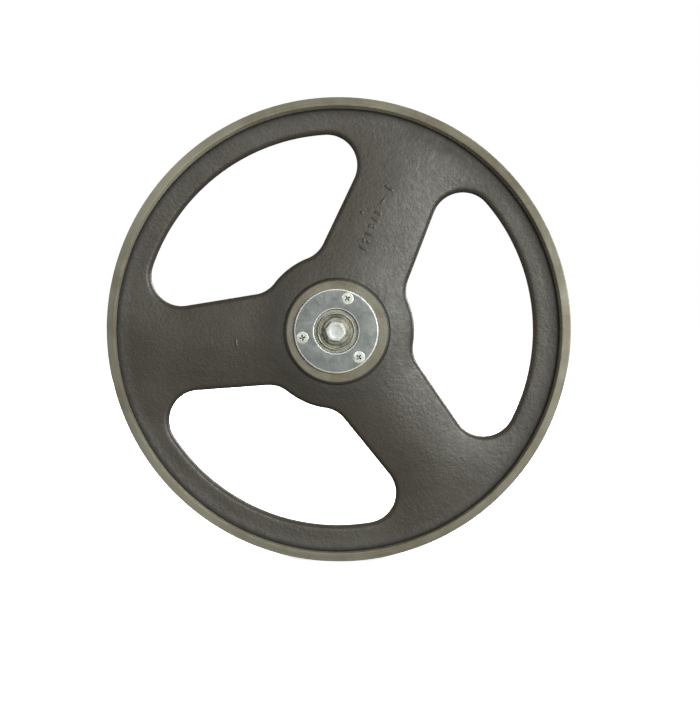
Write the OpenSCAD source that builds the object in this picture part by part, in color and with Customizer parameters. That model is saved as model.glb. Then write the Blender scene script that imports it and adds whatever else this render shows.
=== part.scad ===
// Three-spoke cast wheel on two ball bearings and a stub axle.
// Every sub-part is drawn about its own Z axis: height 0 is the axle's mounting shoulder and
// +Z is the wheel's front. on_axle() lays that axis along -Y, so the wheel stands and faces -Y.

/* [Wheel casting] */
// Diameter over the rim's tread
wheel_d = 355.6; // [354:0.1:358]
// Width of the rim, front to back
rim_w = 25.4; // [24:0.1:28]
// Width of the machined ring on the rim's front
rim_face_w = 6.4; // [5:0.1:7]
// Depth from the rim's front face to the web
web_recess = 6; // [4:0.5:8]
// Thickness of the web and its spokes
web_t = 9; // [8:0.5:10]
// Angle of the first spoke, from +X
spoke_angle = 66.8; // [0:0.1:119]
// Width that a spoke would have at the wheel's centre
spoke_w = 76.2; // [74:0.1:78]
// Taper of each side of a spoke, in degrees
spoke_taper = 2.35; // [1:0.05:3]
// Radius of the openings' outer arc
opening_r = 152.4; // [148:0.1:155]
// Corner radius of the openings at the rim
rim_corner_r = 23.8; // [20:0.1:26]
// Radius of the hub disc between the spokes
hub_disc_r = 60.7; // [60:0.1:63]
// Corner radius of the openings at the hub disc
hub_corner_r = 22.5; // [20:0.1:24]
// Radius of the machined boss
boss_r = 40.5; // [38:0.1:44]
// Height of the boss above the web
boss_h = 3; // [1:0.1:4]

/* [Bearing retainer] */
// Radius of the retainer plate
plate_r = 32.4; // [32:0.1:36]
// Radius of the retainer's bore
plate_bore_r = 17; // [16.8:0.1:18]
// Thickness of the retainer
plate_t = 3; // [2.8:0.1:3.4]
// Radius of the circle that the retainer's screws lie on
screw_circle_r = 26.4; // [26:0.1:27]
// Angle of the first retainer screw, from +X
screw_angle = 71; // [0:0.5:119]
// Diameter of a screw's head
screw_head_d = 10.3; // [9.8:0.1:10.5]

/* [Bearings] */
// Outside diameter of both bearings
bearing_od = 40; // [40:0.5:41]
// Bore of both bearings
bearing_bore = 17; // [16:0.5:17]
// Width of both bearings
bearing_w = 12; // [12:0.5:13]
// Balls in each bearing
ball_count = 8; // [6:1:8]
// Diameter of a ball
ball_d = 6.747; // [6.5:0.001:6.8]
// Length of the spacer between the bearings
spacer_len = 8; // [6:0.5:12]

/* [Axle] */
// Radius of the shoulder that rests on the frame
flange_r = 20; // [18:0.5:24]
// Thickness of that shoulder
flange_t = 5; // [4:0.5:8]
// Radius of the spigot that the frame holds
spigot_r = 12.5; // [12:0.1:14]
// Length of the spigot
spigot_len = 28; // [26:1:40]
// Width across the flats of the bolt's head
hex_af = 14.3; // [13:0.1:15]
// Height of the bolt's head
hex_h = 5.9; // [5:0.1:7]

/* [Hidden] */
$fn = 96;
BEARINGS = ["front", "rear"];
BALLS = [1:ball_count];
BEARING_PARTS = [
    "outer_race", "inner_race", "cage_front", "cage_rear", "cage_rivets", "shield_front", "shield_rear"
];

// How far a cutting solid runs past the face that it cuts
cut = 0.5;

// Colours
IRON = [0.33, 0.31, 0.28];
ZINC = [0.62, 0.66, 0.68];
STEEL = [0.72, 0.73, 0.74];
RUBBER = [0.08, 0.08, 0.08];

// Stations along the axis
collar_len = 8;
rear_bearing_z = flange_t + collar_len;
front_bearing_z = rear_bearing_z + bearing_w + spacer_len;
boss_z = front_bearing_z + bearing_w;
web_front_z = boss_z - boss_h;
web_rear_z = web_front_z - web_t;
rim_front_z = web_front_z + web_recess;
rim_rear_z = rim_front_z - rim_w;
hub_gap = 1.5;
hub_rear_z = flange_t + hub_gap;

// Rim, web and hub
spoke_count = 3;
spoke_step = 360 / spoke_count;
wheel_r = wheel_d / 2;
rim_chamfer = 0.8;
wall_draft = 0.5;
recess_r = wheel_r - rim_face_w;
recess_foot_r = recess_r - wall_draft;
rim_rear_wall = 9;
rim_rear_r = wheel_r - rim_rear_wall;
rim_rear_foot_r = rim_rear_r - 2 * wall_draft;
rear_fillet = 4;
hub_rear_r = 28;
hub_waist_r = 31;
hub_root_r = 42;
hub_root_h = 9;
bore_chamfer = 0.8;
shoulder_r = 17.5;

// An opening is symmetric about the line halfway between two spokes, here its X axis
side_angle = spoke_step / 2 + spoke_taper;
side_dir = [cos(side_angle), sin(side_angle)];
side_normal = [sin(side_angle), -cos(side_angle)];
half_spoke = spoke_w / 2;
arc_step = 4;

// Bearings
bearing_r = bearing_od / 2;
journal_r = bearing_bore / 2;
pitch_r = (bearing_r + journal_r) / 2;
ball_r = ball_d / 2;
groove_r = 3.5;
inner_land_r = 12.1;
outer_land_r = 16.7;
race_chamfer = 0.6;
cage_inner_r = 12.9;
cage_outer_r = 15.6;
cage_t = 0.6;
pocket_clearance = 0.1;
rivet_r = 0.6;
rivet_head_r = 1.1;
rivet_head_t = 0.4;
shield_t = 0.4;
shield_inset = 0.5;
shield_clearance = 0.25;
spacer_r = 11;

// Circlip and rear seal
circlip_t = 1.75;
circlip_gap = 0.1;
circlip_z = rear_bearing_z - circlip_gap - circlip_t;
circlip_r = 21.25;
circlip_inner_r = 17.6;
circlip_opening_w = 8;
circlip_ear_r = 2.2;
circlip_ear_hole_r = 0.9;
circlip_ear_circle_r = 16.9;
circlip_ear_angle = 21;
seal_z = hub_rear_z + 0.5;
seal_t = 3.5;
seal_case_t = 1;
seal_lip_root_r = 14;
seal_clearance = 0.05;
collar_r = 12;

// Retainer, its screws, and the bolt with its washers
plate_chamfer = 0.8;
screw_r = 2.1;
screw_len = 12;
screw_cone_h = 2.6;
tapped_extra = 2;
cross_w = 1.1;
cross_len = 4.6;
cross_depth = 1.6;
end_washer_r = 14.5;
end_washer_t = 3;
end_washer_chamfer = 0.4;
washer_r = 10.3;
washer_bore_r = 5.1;
washer_t = 1.6;
bolt_r = 3.97;
bolt_len = 26;
bolt_hole_extra = 2;
bolt_seat_z = boss_z + end_washer_t + washer_t;
hex_top_share = 0.95;
hex_turn = -10;
journal_end_z = boss_z - 0.4;
spigot_chamfer = 1;
spigot_hole_r = 4.25;
spigot_hole_len = 22;

// Lays the local Z axis along -Y, with local Y upright
module on_axle() rotate([90, 0, 0]) children();

// Repeats its children evenly round the Z axis
module round_axis(count, start = 0)
    for (i = [0:count - 1]) rotate([0, 0, start + i * 360 / count]) children();

// A solid of revolution from a closed outline of [radius, height] points
module turned(points) rotate_extrude() polygon(points);

// A flat ring that stands on height z
module ring(outer_r, inner_r, height, z = 0)
    turned([[inner_r, z], [outer_r, z], [outer_r, z + height], [inner_r, z + height]]);

// Centre of the corner circle of radius r that touches an opening's side, at distance d from the axis
function corner_centre(r, d) =
    side_normal * (half_spoke + r) + side_dir * sqrt(d * d - pow(half_spoke + r, 2));

// Angle of a point as seen from the origin
function heading(p) = atan2(p.y, p.x);

// Points along an arc, one every arc_step degrees or a little less
function arc(centre, r, from, to) =
    let (steps = ceil(abs(to - from) / arc_step))
    [for (i = [0:steps]) centre + r * [cos(from + (to - from) * i / steps), sin(from + (to - from) * i / steps)]];

// Lower half of the points mirrored from the upper half, in the order that closes the outline
function mirrored(points) = [for (i = [len(points) - 1:-1:0]) [points[i].x, -points[i].y]];

// Upper half from the rim's arc, round both corners, to the hub's arc
function opening_half() =
    let (
        rim_corner = corner_centre(rim_corner_r, opening_r - rim_corner_r),
        hub_corner = corner_centre(hub_corner_r, hub_disc_r + hub_corner_r),
        side_touch = side_angle + 90
    )
    concat(
        arc([0, 0], opening_r, arc_step / 2, heading(rim_corner) - arc_step / 2),
        arc(rim_corner, rim_corner_r, heading(rim_corner), side_touch),
        arc(hub_corner, hub_corner_r, side_touch, heading(hub_corner) + 180),
        arc([0, 0], hub_disc_r, heading(hub_corner) - arc_step, arc_step / 2)
    );

module opening_outline() polygon(concat(opening_half(), mirrored(opening_half())));

// Section through the rim, the web and the hub with its two bearing seats
module casting_body()
    turned([
        // bore, from rear to front
        [bearing_r + bore_chamfer, hub_rear_z],
        [bearing_r, hub_rear_z + bore_chamfer],
        [bearing_r, circlip_z],
        [circlip_r, circlip_z],
        [circlip_r, circlip_z + circlip_t],
        [bearing_r, circlip_z + circlip_t],
        [bearing_r, rear_bearing_z + bearing_w],
        [shoulder_r, rear_bearing_z + bearing_w],
        [shoulder_r, front_bearing_z],
        [bearing_r, front_bearing_z],
        [bearing_r, boss_z],
        // front
        [boss_r, boss_z],
        [boss_r, web_front_z],
        [recess_foot_r, web_front_z],
        [recess_r, rim_front_z],
        // tread
        [wheel_r - rim_chamfer, rim_front_z],
        [wheel_r, rim_front_z - rim_chamfer],
        [wheel_r, rim_rear_z + rim_chamfer],
        [wheel_r - rim_chamfer, rim_rear_z],
        // rear
        [rim_rear_r, rim_rear_z],
        [rim_rear_foot_r, web_rear_z - rear_fillet],
        [rim_rear_foot_r - rear_fillet, web_rear_z],
        [hub_root_r, web_rear_z],
        [hub_waist_r, web_rear_z - hub_root_h],
        [hub_rear_r, hub_rear_z + bore_chamfer],
        [hub_rear_r - bore_chamfer, hub_rear_z]
    ]);

module wheel_casting() color(IRON) {
    tapped_len = screw_len - plate_t + tapped_extra;
    difference() {
        casting_body();
        translate([0, 0, web_rear_z - cut]) linear_extrude(web_t + 2 * cut)
            round_axis(spoke_count, spoke_angle + spoke_step / 2) opening_outline();
        round_axis(spoke_count, screw_angle) translate([screw_circle_r, 0, boss_z - tapped_len])
            cylinder(r = screw_r, h = tapped_len + cut);
    }
}

// A countersunk screw's body: point, shank and head, which ends flush at height 0
module screw_body()
    turned([
        [0, -screw_len],
        [screw_r - 0.6, -screw_len],
        [screw_r, -screw_len + 0.6],
        [screw_r, -screw_cone_h],
        [screw_head_d / 2, 0],
        [0, 0]
    ]);

module retainer_plate() color(ZINC) {
    top_z = boss_z + plate_t;
    difference() {
        turned([
            [plate_bore_r, boss_z],
            [plate_bore_r, top_z - plate_chamfer],
            [plate_bore_r + plate_chamfer, top_z],
            [plate_r - plate_chamfer, top_z],
            [plate_r, top_z - plate_chamfer],
            [plate_r, boss_z]
        ]);
        round_axis(spoke_count, screw_angle) translate([screw_circle_r, 0, top_z]) screw_body();
    }
}

module plate_screws() color(STEEL)
    round_axis(spoke_count, screw_angle) translate([screw_circle_r, 0, boss_z + plate_t])
        difference() {
            screw_body();
            for (turn = [0, 90]) rotate([0, 0, turn]) translate([-cross_len / 2, -cross_w / 2, -cross_depth])
                cube([cross_len, cross_w, cross_depth + cut]);
        }

// Section of a race: a chamfered block between two radii, with the ball groove cut in it
module race(inner_r, outer_r)
    rotate_extrude() difference() {
        polygon([
            [inner_r + race_chamfer, 0],
            [outer_r - race_chamfer, 0],
            [outer_r, race_chamfer],
            [outer_r, bearing_w - race_chamfer],
            [outer_r - race_chamfer, bearing_w],
            [inner_r + race_chamfer, bearing_w],
            [inner_r, bearing_w - race_chamfer],
            [inner_r, race_chamfer]
        ]);
        translate([pitch_r, bearing_w / 2]) circle(r = groove_r);
    }

module outer_race() color(STEEL) race(outer_land_r, bearing_r);

module inner_race() color(STEEL) race(journal_r, inner_land_r);

module ball(i) color(STEEL)
    rotate([0, 0, (i - 1) * 360 / ball_count]) translate([pitch_r, 0, bearing_w / 2]) sphere(r = ball_r);

// The front half of the cage: a flat ribbon with a pocket over each ball. The rear half mirrors it.
module cage_half() color(STEEL) {
    pocket_r = ball_r + pocket_clearance;
    intersection() {
        difference() {
            union() {
                cylinder(r = cage_outer_r + cut, h = cage_t);
                round_axis(ball_count) ball_sleeve(pocket_r + cage_t);
            }
            round_axis(ball_count) ball_sleeve(pocket_r);
            round_axis(ball_count, 180 / ball_count) translate([pitch_r, 0, -cut])
                cylinder(r = rivet_r, h = cage_t + 2 * cut);
        }
        ring(cage_outer_r, cage_inner_r, bearing_w / 2);
    }
}

// A cylinder that lies along the radius through a ball
module ball_sleeve(r)
    translate([cage_inner_r - cut, 0, 0]) rotate([0, 90, 0])
        cylinder(r = r, h = cage_outer_r - cage_inner_r + 2 * cut);

module cage_front() translate([0, 0, bearing_w / 2]) cage_half();

module cage_rear() translate([0, 0, bearing_w / 2]) mirror([0, 0, 1]) cage_half();

module cage_rivets() color(STEEL)
    round_axis(ball_count, 180 / ball_count) translate([pitch_r, 0, bearing_w / 2])
        turned([
            [0, -cage_t - rivet_head_t],
            [rivet_head_r, -cage_t - rivet_head_t],
            [rivet_head_r, -cage_t],
            [rivet_r, -cage_t],
            [rivet_r, cage_t],
            [rivet_head_r, cage_t],
            [rivet_head_r, cage_t + rivet_head_t],
            [0, cage_t + rivet_head_t]
        ]);

module shield() color(STEEL) ring(outer_land_r, inner_land_r + shield_clearance, shield_t);

module shield_front() translate([0, 0, bearing_w - shield_inset - shield_t]) shield();

module shield_rear() translate([0, 0, shield_inset]) shield();

module bearing_spacer() color(STEEL)
    ring(spacer_r, journal_r, spacer_len, rear_bearing_z + bearing_w);

// Snap ring with two eyes for the pliers, its opening at the top
module rear_circlip() color(STEEL)
    translate([0, 0, circlip_z]) linear_extrude(circlip_t) difference() {
        union() {
            difference() {
                circle(r = circlip_r);
                circle(r = circlip_inner_r);
            }
            for (side = [-1, 1]) rotate(90 + side * circlip_ear_angle) translate([circlip_ear_circle_r, 0])
                circle(r = circlip_ear_r);
        }
        translate([-circlip_opening_w / 2, 0]) square([circlip_opening_w, 2 * circlip_r]);
        for (side = [-1, 1]) rotate(90 + side * circlip_ear_angle) translate([circlip_ear_circle_r, 0])
            circle(r = circlip_ear_hole_r);
    }

module rear_seal() color(RUBBER)
    turned([
        [collar_r + seal_clearance, seal_z + seal_case_t],
        [seal_lip_root_r, seal_z],
        [bearing_r, seal_z],
        [bearing_r, seal_z + seal_t],
        [bearing_r - seal_case_t, seal_z + seal_t],
        [bearing_r - seal_case_t, seal_z + seal_case_t],
        [seal_lip_root_r, seal_z + seal_case_t],
        [collar_r + seal_clearance, seal_z + 2 * seal_case_t]
    ]);

module axle() color(STEEL) {
    bolt_hole_len = bolt_len - (bolt_seat_z - journal_end_z) + bolt_hole_extra;
    difference() {
        turned([
            [0, -spigot_len],
            [spigot_r - spigot_chamfer, -spigot_len],
            [spigot_r, -spigot_len + spigot_chamfer],
            [spigot_r, 0],
            [flange_r, 0],
            [flange_r, flange_t],
            [collar_r, flange_t],
            [collar_r, rear_bearing_z],
            [journal_r, rear_bearing_z],
            [journal_r, journal_end_z],
            [0, journal_end_z]
        ]);
        translate([0, 0, journal_end_z - bolt_hole_len]) cylinder(r = bolt_r, h = bolt_hole_len + cut);
        translate([0, 0, -spigot_len - cut]) cylinder(r = spigot_hole_r, h = spigot_hole_len + cut);
    }
}

module end_washer() color(STEEL)
    turned([
        [washer_bore_r, boss_z],
        [end_washer_r, boss_z],
        [end_washer_r, boss_z + end_washer_t - end_washer_chamfer],
        [end_washer_r - end_washer_chamfer, boss_z + end_washer_t],
        [washer_bore_r, boss_z + end_washer_t]
    ]);

module bolt_washer() color(ZINC) ring(washer_r, washer_bore_r, washer_t, boss_z + end_washer_t);

// Hex head with its corners turned off at 30 degrees, on a plain shank
module axle_bolt() color(ZINC) translate([0, 0, bolt_seat_z]) {
    corner_r = hex_af / 2 / cos(30);
    blank_r = corner_r + 1;
    top_r = hex_af / 2 * hex_top_share;
    intersection() {
        rotate([0, 0, hex_turn]) cylinder(r = corner_r, h = hex_h, $fn = 6);
        turned([
            [0, -cut],
            [blank_r, -cut],
            [blank_r, hex_h - (blank_r - top_r) * tan(30)],
            [top_r, hex_h],
            [0, hex_h]
        ]);
    }
    translate([0, 0, -bolt_len]) cylinder(r = bolt_r, h = bolt_len);
}

// Puts a bearing's part at the front or rear seat
module at_seat(side) on_axle() translate([0, 0, side == "front" ? front_bearing_z : rear_bearing_z]) children();

on_axle() wheel_casting();
on_axle() retainer_plate();
on_axle() plate_screws();
for (side = BEARINGS) {
    at_seat(side) outer_race();
    at_seat(side) inner_race();
    at_seat(side) cage_front();
    at_seat(side) cage_rear();
    at_seat(side) cage_rivets();
    at_seat(side) shield_front();
    at_seat(side) shield_rear();
    for (i = BALLS)
        at_seat(side) ball(i);
}
on_axle() bearing_spacer();
on_axle() rear_circlip();
on_axle() rear_seal();
on_axle() axle();
on_axle() end_washer();
on_axle() bolt_washer();
on_axle() axle_bolt();
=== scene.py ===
import math

import bmesh
import bpy
import numpy as np
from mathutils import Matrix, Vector, geometry, noise


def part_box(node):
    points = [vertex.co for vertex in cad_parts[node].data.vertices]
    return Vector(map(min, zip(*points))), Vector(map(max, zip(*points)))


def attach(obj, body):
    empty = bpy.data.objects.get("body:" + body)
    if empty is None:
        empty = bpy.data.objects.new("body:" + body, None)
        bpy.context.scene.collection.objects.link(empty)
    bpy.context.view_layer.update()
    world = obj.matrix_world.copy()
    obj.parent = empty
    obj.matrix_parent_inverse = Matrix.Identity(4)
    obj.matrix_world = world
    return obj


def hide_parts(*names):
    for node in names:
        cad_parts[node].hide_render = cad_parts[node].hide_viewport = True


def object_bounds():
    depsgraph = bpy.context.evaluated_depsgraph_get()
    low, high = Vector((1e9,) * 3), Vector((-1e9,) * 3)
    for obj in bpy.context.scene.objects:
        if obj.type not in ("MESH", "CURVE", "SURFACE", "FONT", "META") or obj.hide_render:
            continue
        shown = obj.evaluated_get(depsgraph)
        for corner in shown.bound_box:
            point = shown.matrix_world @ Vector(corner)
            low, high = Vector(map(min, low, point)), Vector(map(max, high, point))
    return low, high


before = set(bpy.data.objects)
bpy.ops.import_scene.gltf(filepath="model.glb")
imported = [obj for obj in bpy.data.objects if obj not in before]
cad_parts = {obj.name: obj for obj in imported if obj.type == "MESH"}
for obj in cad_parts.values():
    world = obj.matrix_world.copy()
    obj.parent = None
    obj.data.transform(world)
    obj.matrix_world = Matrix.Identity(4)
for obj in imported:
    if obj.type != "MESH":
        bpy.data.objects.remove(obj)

cad_box = [list(corner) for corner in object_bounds()]

# Meshes are made in millimetres about the wheel's axis: x right, y up, z out of the wheel's front.
MM = 0.001

# Points tested against the openings' outlines at a time, to bound the memory used.
CHUNK = 4000


def front_of(node):
    return -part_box(node)[0].y / MM


def rear_of(node):
    return -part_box(node)[1].y / MM


def radius_of(node):
    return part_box(node)[1].x / MM


# ---------------------------------------------------------------- mesh code


class Shell:
    """A mesh in the making: points, faces, and how strongly the grain moves each point."""

    def __init__(self):
        self.points, self.grain = [], []
        self.faces, self.mats = [], []

    def add(self, points, grain=0.0):
        first = len(self.points)
        self.points.extend([float(c) for c in p] for p in points)
        self.grain.extend([grain] * len(points))
        return list(range(first, len(self.points)))

    def face(self, corners, mat=0):
        self.faces.append(tuple(corners))
        self.mats.append(mat)

    def bridge(self, a, b, mat=0):
        for i in range(len(a)):
            j = (i + 1) % len(a)
            self.face((a[i], a[j], b[j], b[i]), mat)

    def fan(self, loop, tip, mat=0):
        for i in range(len(loop)):
            self.face((loop[i], loop[(i + 1) % len(loop)], tip), mat)

    def loft(self, loops, mat=0):
        for a, b in zip(loops, loops[1:]):
            self.bridge(a, b, mat)

    def fill(self, outer, holes, free=(), mat=0):
        """Triangulates between loops of this shell, through free points [x, y, z]."""
        loops = [outer, *holes]
        extra = self.add(free, 1.0) if len(free) else []
        index = [i for loop in loops for i in loop] + extra
        flat = [Vector(self.points[i][:2]) for i in index]
        edges, start = [], 0
        for loop in loops:
            n = len(loop)
            edges += [(start + k, start + (k + 1) % n) for k in range(n)]
            start += n
        made = geometry.delaunay_2d_cdt(flat, edges, [], 0, 1e-7, True)
        source = [ids[0] if ids else None for ids in made[3]]
        shapes = [np.array([self.points[i][:2] for i in loop]) for loop in loops]
        for tri in made[2]:
            ids = [source[v] for v in tri]
            if None in ids:
                continue
            if max(ids) < start:
                middle = np.mean([flat[k] for k in ids], axis=0)
                if not inside(middle, shapes[0]) or any(inside(middle, s) for s in shapes[1:]):
                    continue
            self.face([index[k] for k in ids], mat)

    def build(self, name, materials, sharp=35):
        p = np.array(self.points) * MM
        mesh = bpy.data.meshes.new(name)
        mesh.from_pydata(np.c_[p[:, 0], -p[:, 2], p[:, 1]].tolist(), [], self.faces)
        for m in materials:
            mesh.materials.append(m)
        mesh.polygons.foreach_set("material_index", self.mats)
        work = bmesh.new()
        work.from_mesh(mesh)
        bmesh.ops.recalc_face_normals(work, faces=work.faces)
        work.to_mesh(mesh)
        work.free()
        mesh.update()
        if any(self.grain):
            roughen(mesh, np.array(self.grain))
        mesh.shade_smooth()
        mesh.set_sharp_from_angle(angle=math.radians(sharp))
        made = bpy.data.objects.new(name, mesh)
        bpy.context.scene.collection.objects.link(made)
        return made


def inside(point, shape):
    """True if the point is inside the closed shape, by the same rule as in_openings."""
    x, y = point
    a, b = shape, np.roll(shape, -1, axis=0)
    across = (a[:, 1] > y) != (b[:, 1] > y)
    a, b = a[across], b[across]
    hit = a[:, 0] + (y - a[:, 1]) / (b[:, 1] - a[:, 1]) * (b[:, 0] - a[:, 0])
    return bool(np.count_nonzero(hit > x) % 2)


def circle(r, z, n, centre=(0.0, 0.0)):
    t = np.arange(n) * 2 * math.pi / n
    return np.c_[centre[0] + r * np.cos(t), centre[1] + r * np.sin(t), np.full(n, z)]


def rounded(corners, closed=True, step=20):
    """Turns [r, z, radius] corners into a smooth line of [r, z] points."""
    line, n = [], len(corners)
    for i, (r, z, radius) in enumerate(corners):
        if radius <= 0 or (not closed and i in (0, n - 1)):
            line.append((r, z))
            continue
        p = np.array((r, z))
        a = np.array(corners[i - 1][:2]) - p
        b = np.array(corners[(i + 1) % n][:2]) - p
        a, b = a / np.linalg.norm(a), b / np.linalg.norm(b)
        half = math.acos(max(-1.0, min(1.0, float(a @ b)))) / 2
        centre = p + (a + b) / np.linalg.norm(a + b) * radius / math.sin(half)
        s, e = p + a * radius / math.tan(half) - centre, p + b * radius / math.tan(half) - centre
        start, end = math.atan2(s[1], s[0]), math.atan2(e[1], e[0])
        sweep = (end - start + math.pi) % (2 * math.pi) - math.pi
        steps = max(2, math.ceil(abs(math.degrees(sweep)) / step))
        for k in range(steps + 1):
            t = start + sweep * k / steps
            line.append((centre[0] + radius * math.cos(t), centre[1] + radius * math.sin(t)))
    return line


def lathe(shell, line, n, closed=True, mats=None):
    """Revolves a line of [r, z] points. Where it reaches the axis it closes in a point."""
    loops = [
        shell.add([(0, 0, z)]) if r < 1e-6 else shell.add(circle(r, z, n)) for r, z in line
    ]
    pairs = list(zip(loops, loops[1:]))
    if closed and len(loops[0]) > 1 and len(loops[-1]) > 1:
        pairs.append((loops[-1], loops[0]))
    for k, (a, b) in enumerate(pairs):
        m = mats[k] if mats else 0
        if len(a) == 1:
            shell.fan(b, a[0], m)
        elif len(b) == 1:
            shell.fan(a, b[0], m)
        else:
            shell.bridge(a, b, m)


# ---------------------------------------------------------------- the casting's shape

SPOKE_ANGLE = 66.8
HALF_SPOKE = 38.1
OPENING_R = 152.4
HUB_DISC_R = 60.7
RIM_CORNER_R = 23.8
HUB_CORNER_R = 22.5
SIDE_ANGLE = math.radians(62.35)

WHEEL_R = radius_of("wheel_casting")
RIM_FRONT = front_of("wheel_casting")
HUB_REAR = rear_of("wheel_casting")
BOSS_Z = rear_of("retainer_plate")
RIM_REAR = RIM_FRONT - 25.4
WEB_FRONT = BOSS_Z - 2.5
WEB_REAR = BOSS_Z - 12.0
FACE_INNER_R = WHEEL_R - 6.4

# The sand core sat a little off the axis that the rim was turned about.
CORE_SHIFT = (-0.7, -0.2)
FOOT_SHIFT = (-0.35, -0.6)
FOOT_R = 170.6
FOOT_FILLET = 1.7
BOSS_SHIFT = (0.4, -0.4)
BOSS_FOOT_R = 41.0
BOSS_FILLET = 0.7
BOSS_CLEAR_R = 42.7
REAR_RIM_R = 163.8
REAR_FILLET = 4.0
REAR_HUB_R = 45.0

CROWN = 2.9
CROWN_REACH = 38.0
FRONT_ROUND = 3.4
DOME = 1.1
DOME_R = 72.0
DOME_WIDTH = 30.0
DISH = 1.2
DISH_WIDTH = 9.0
REAR_CROWN = 0.9
REAR_ROUND = 2.4
FLASH = 0.12
LAST_OFFSET = 5.9
GRID = 1.6
REAR_GRID = 2.6
OUTLINE_STEP = 1.6
RIM_EDGE_ROUND = 0.8
REAR_FACE_INNER_R = 169.1
N_RIM = 480
N_HUB = 216

CAST, TURNED, TREAD, WALL = 0, 1, 2, 3


def arc_points(centre, r, start, end, outward):
    n = max(2, math.ceil(abs(end - start) * r / OUTLINE_STEP))
    t = np.linspace(start, end, n, endpoint=False)
    d = np.c_[np.cos(t), np.sin(t)]
    return np.array(centre) + r * d, d * outward


def opening_outline():
    """Outline of one opening about +X and its normals into the iron."""
    side = np.array((math.cos(SIDE_ANGLE), math.sin(SIDE_ANGLE)))
    normal = np.array((side[1], -side[0]))

    def corner(r, d):
        off = HALF_SPOKE + r
        return normal * off + side * math.sqrt(d * d - off * off)

    rim = corner(RIM_CORNER_R, OPENING_R - RIM_CORNER_R)
    hub = corner(HUB_CORNER_R, HUB_DISC_R + HUB_CORNER_R)
    rim_heading = math.atan2(rim[1], rim[0])
    hub_heading = math.atan2(hub[1], hub[0])
    touch = SIDE_ANGLE + math.pi / 2
    parts = [
        arc_points((0, 0), OPENING_R, 0, rim_heading, 1),
        arc_points(rim, RIM_CORNER_R, rim_heading, touch, 1),
    ]
    a, b = rim - normal * RIM_CORNER_R, hub - normal * HUB_CORNER_R
    n = math.ceil(np.linalg.norm(b - a) / OUTLINE_STEP)
    t = np.linspace(0, 1, n, endpoint=False)[:, None]
    parts.append((a + (b - a) * t, np.tile(-normal, (n, 1))))
    parts.append(arc_points(hub, HUB_CORNER_R, touch, hub_heading + math.pi, 1))
    parts.append(arc_points((0, 0), HUB_DISC_R, hub_heading, 0, -1))
    points = np.vstack([p for p, _ in parts])
    normals = np.vstack([q for _, q in parts])
    flip = np.array((1, -1))
    tip = np.array([[HUB_DISC_R, 0]]), np.array([[-1.0, 0]])
    return (
        np.vstack([points, tip[0], points[:0:-1] * flip]),
        np.vstack([normals, tip[1], normals[:0:-1] * flip]),
    )


def openings():
    points, normals = opening_outline()
    made = []
    for k in range(3):
        t = math.radians(SPOKE_ANGLE + 60 + 120 * k)
        turn = np.array(((math.cos(t), math.sin(t)), (-math.sin(t), math.cos(t))))
        made.append((points @ turn + np.array(CORE_SHIFT), normals @ turn))
    return made


OPENINGS = openings()
SEGMENTS = np.vstack([np.hstack([p, np.roll(p, -1, axis=0)]) for p, _ in OPENINGS])


def to_opening(points):
    """Distance from each point to the nearest opening's edge."""
    best = np.full(len(points), 1e9)
    a, d = SEGMENTS[:, :2], SEGMENTS[:, 2:] - SEGMENTS[:, :2]
    length = (d * d).sum(axis=1)
    for i in range(0, len(points), CHUNK):
        p = points[i : i + CHUNK, None, :] - a
        t = np.clip((p * d).sum(axis=2) / length, 0, 1)
        gap = p - t[..., None] * d
        best[i : i + CHUNK] = np.sqrt((gap * gap).sum(axis=2)).min(axis=1)
    return best


def round_off(d, radius):
    return radius - np.sqrt(np.clip(radius**2 - np.clip(radius - d, 0, None) ** 2, 0, None))


def front_z(d, r):
    swell = np.clip((DOME_R - r) / DOME_WIDTH, 0, 1)
    crown = CROWN * np.clip(1 - d / CROWN_REACH, 0, None) ** 2
    dish = DISH * np.clip((r - FOOT_R + DISH_WIDTH) / DISH_WIDTH, 0, 1.2) ** 2
    dome = DOME * swell * swell * (3 - 2 * swell)
    return WEB_FRONT + dome + dish - crown - round_off(d, FRONT_ROUND)


def rear_z(d):
    crown = REAR_CROWN * np.clip(1 - d / CROWN_REACH, 0, None) ** 2
    return WEB_REAR + crown + round_off(d, REAR_ROUND)


# Raised foundry marks on the front: along and across the first spoke, length, width and turn.
MARKS = [
    (66.5, -6.2, 6.6, 1.2, 84),
    (72.3, -8.4, 2.6, 1.5, 20),
    (72.6, -4.6, 2.4, 1.5, 70),
    (78.4, -6.5, 5.6, 1.2, 98),
    (84.3, -8.0, 2.8, 1.4, 130),
    (84.8, -5.0, 2.2, 1.8, 0),
    (90.2, -6.4, 6.2, 1.2, 80),
    (95.8, -7.8, 2.6, 1.5, 110),
    (96.0, -4.9, 2.4, 1.6, 30),
    (106.0, -6.6, 5.4, 1.1, -14),
    (116.5, -6.2, 7.0, 1.3, 76),
    (91.5, -18.1, 1.8, 1.8, 0),
]
TICK = (-78.0, -9.0, 5.0, 1.1, 90)
MARK_HEIGHT = 0.42
MARK_GRID = 0.5


def mark_places():
    t = math.radians(SPOKE_ANGLE)
    along, across = np.array((math.cos(t), math.sin(t))), np.array((math.sin(t), -math.cos(t)))
    places = [(along * s + across * w, l, b, SPOKE_ANGLE + turn) for s, w, l, b, turn in MARKS]
    x, y, l, b, turn = TICK
    return places + [(np.array((x, y)), l, b, turn)]


def relief(points):
    """Height of the foundry marks, each a bar with round ends and soft flanks."""
    height = np.zeros(len(points))
    for centre, length, width, turn in mark_places():
        t = math.radians(turn)
        p = points - centre
        u = p @ np.array((math.cos(t), math.sin(t)))
        v = p @ np.array((-math.sin(t), math.cos(t)))
        u = np.clip(np.abs(u) - (length - width) / 2, 0, None)
        edge = np.clip((width / 2 + 0.5 - np.hypot(u, v)) / 1.0, 0, 1)
        height = np.maximum(height, MARK_HEIGHT * edge * edge * (3 - 2 * edge))
    return height


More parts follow.
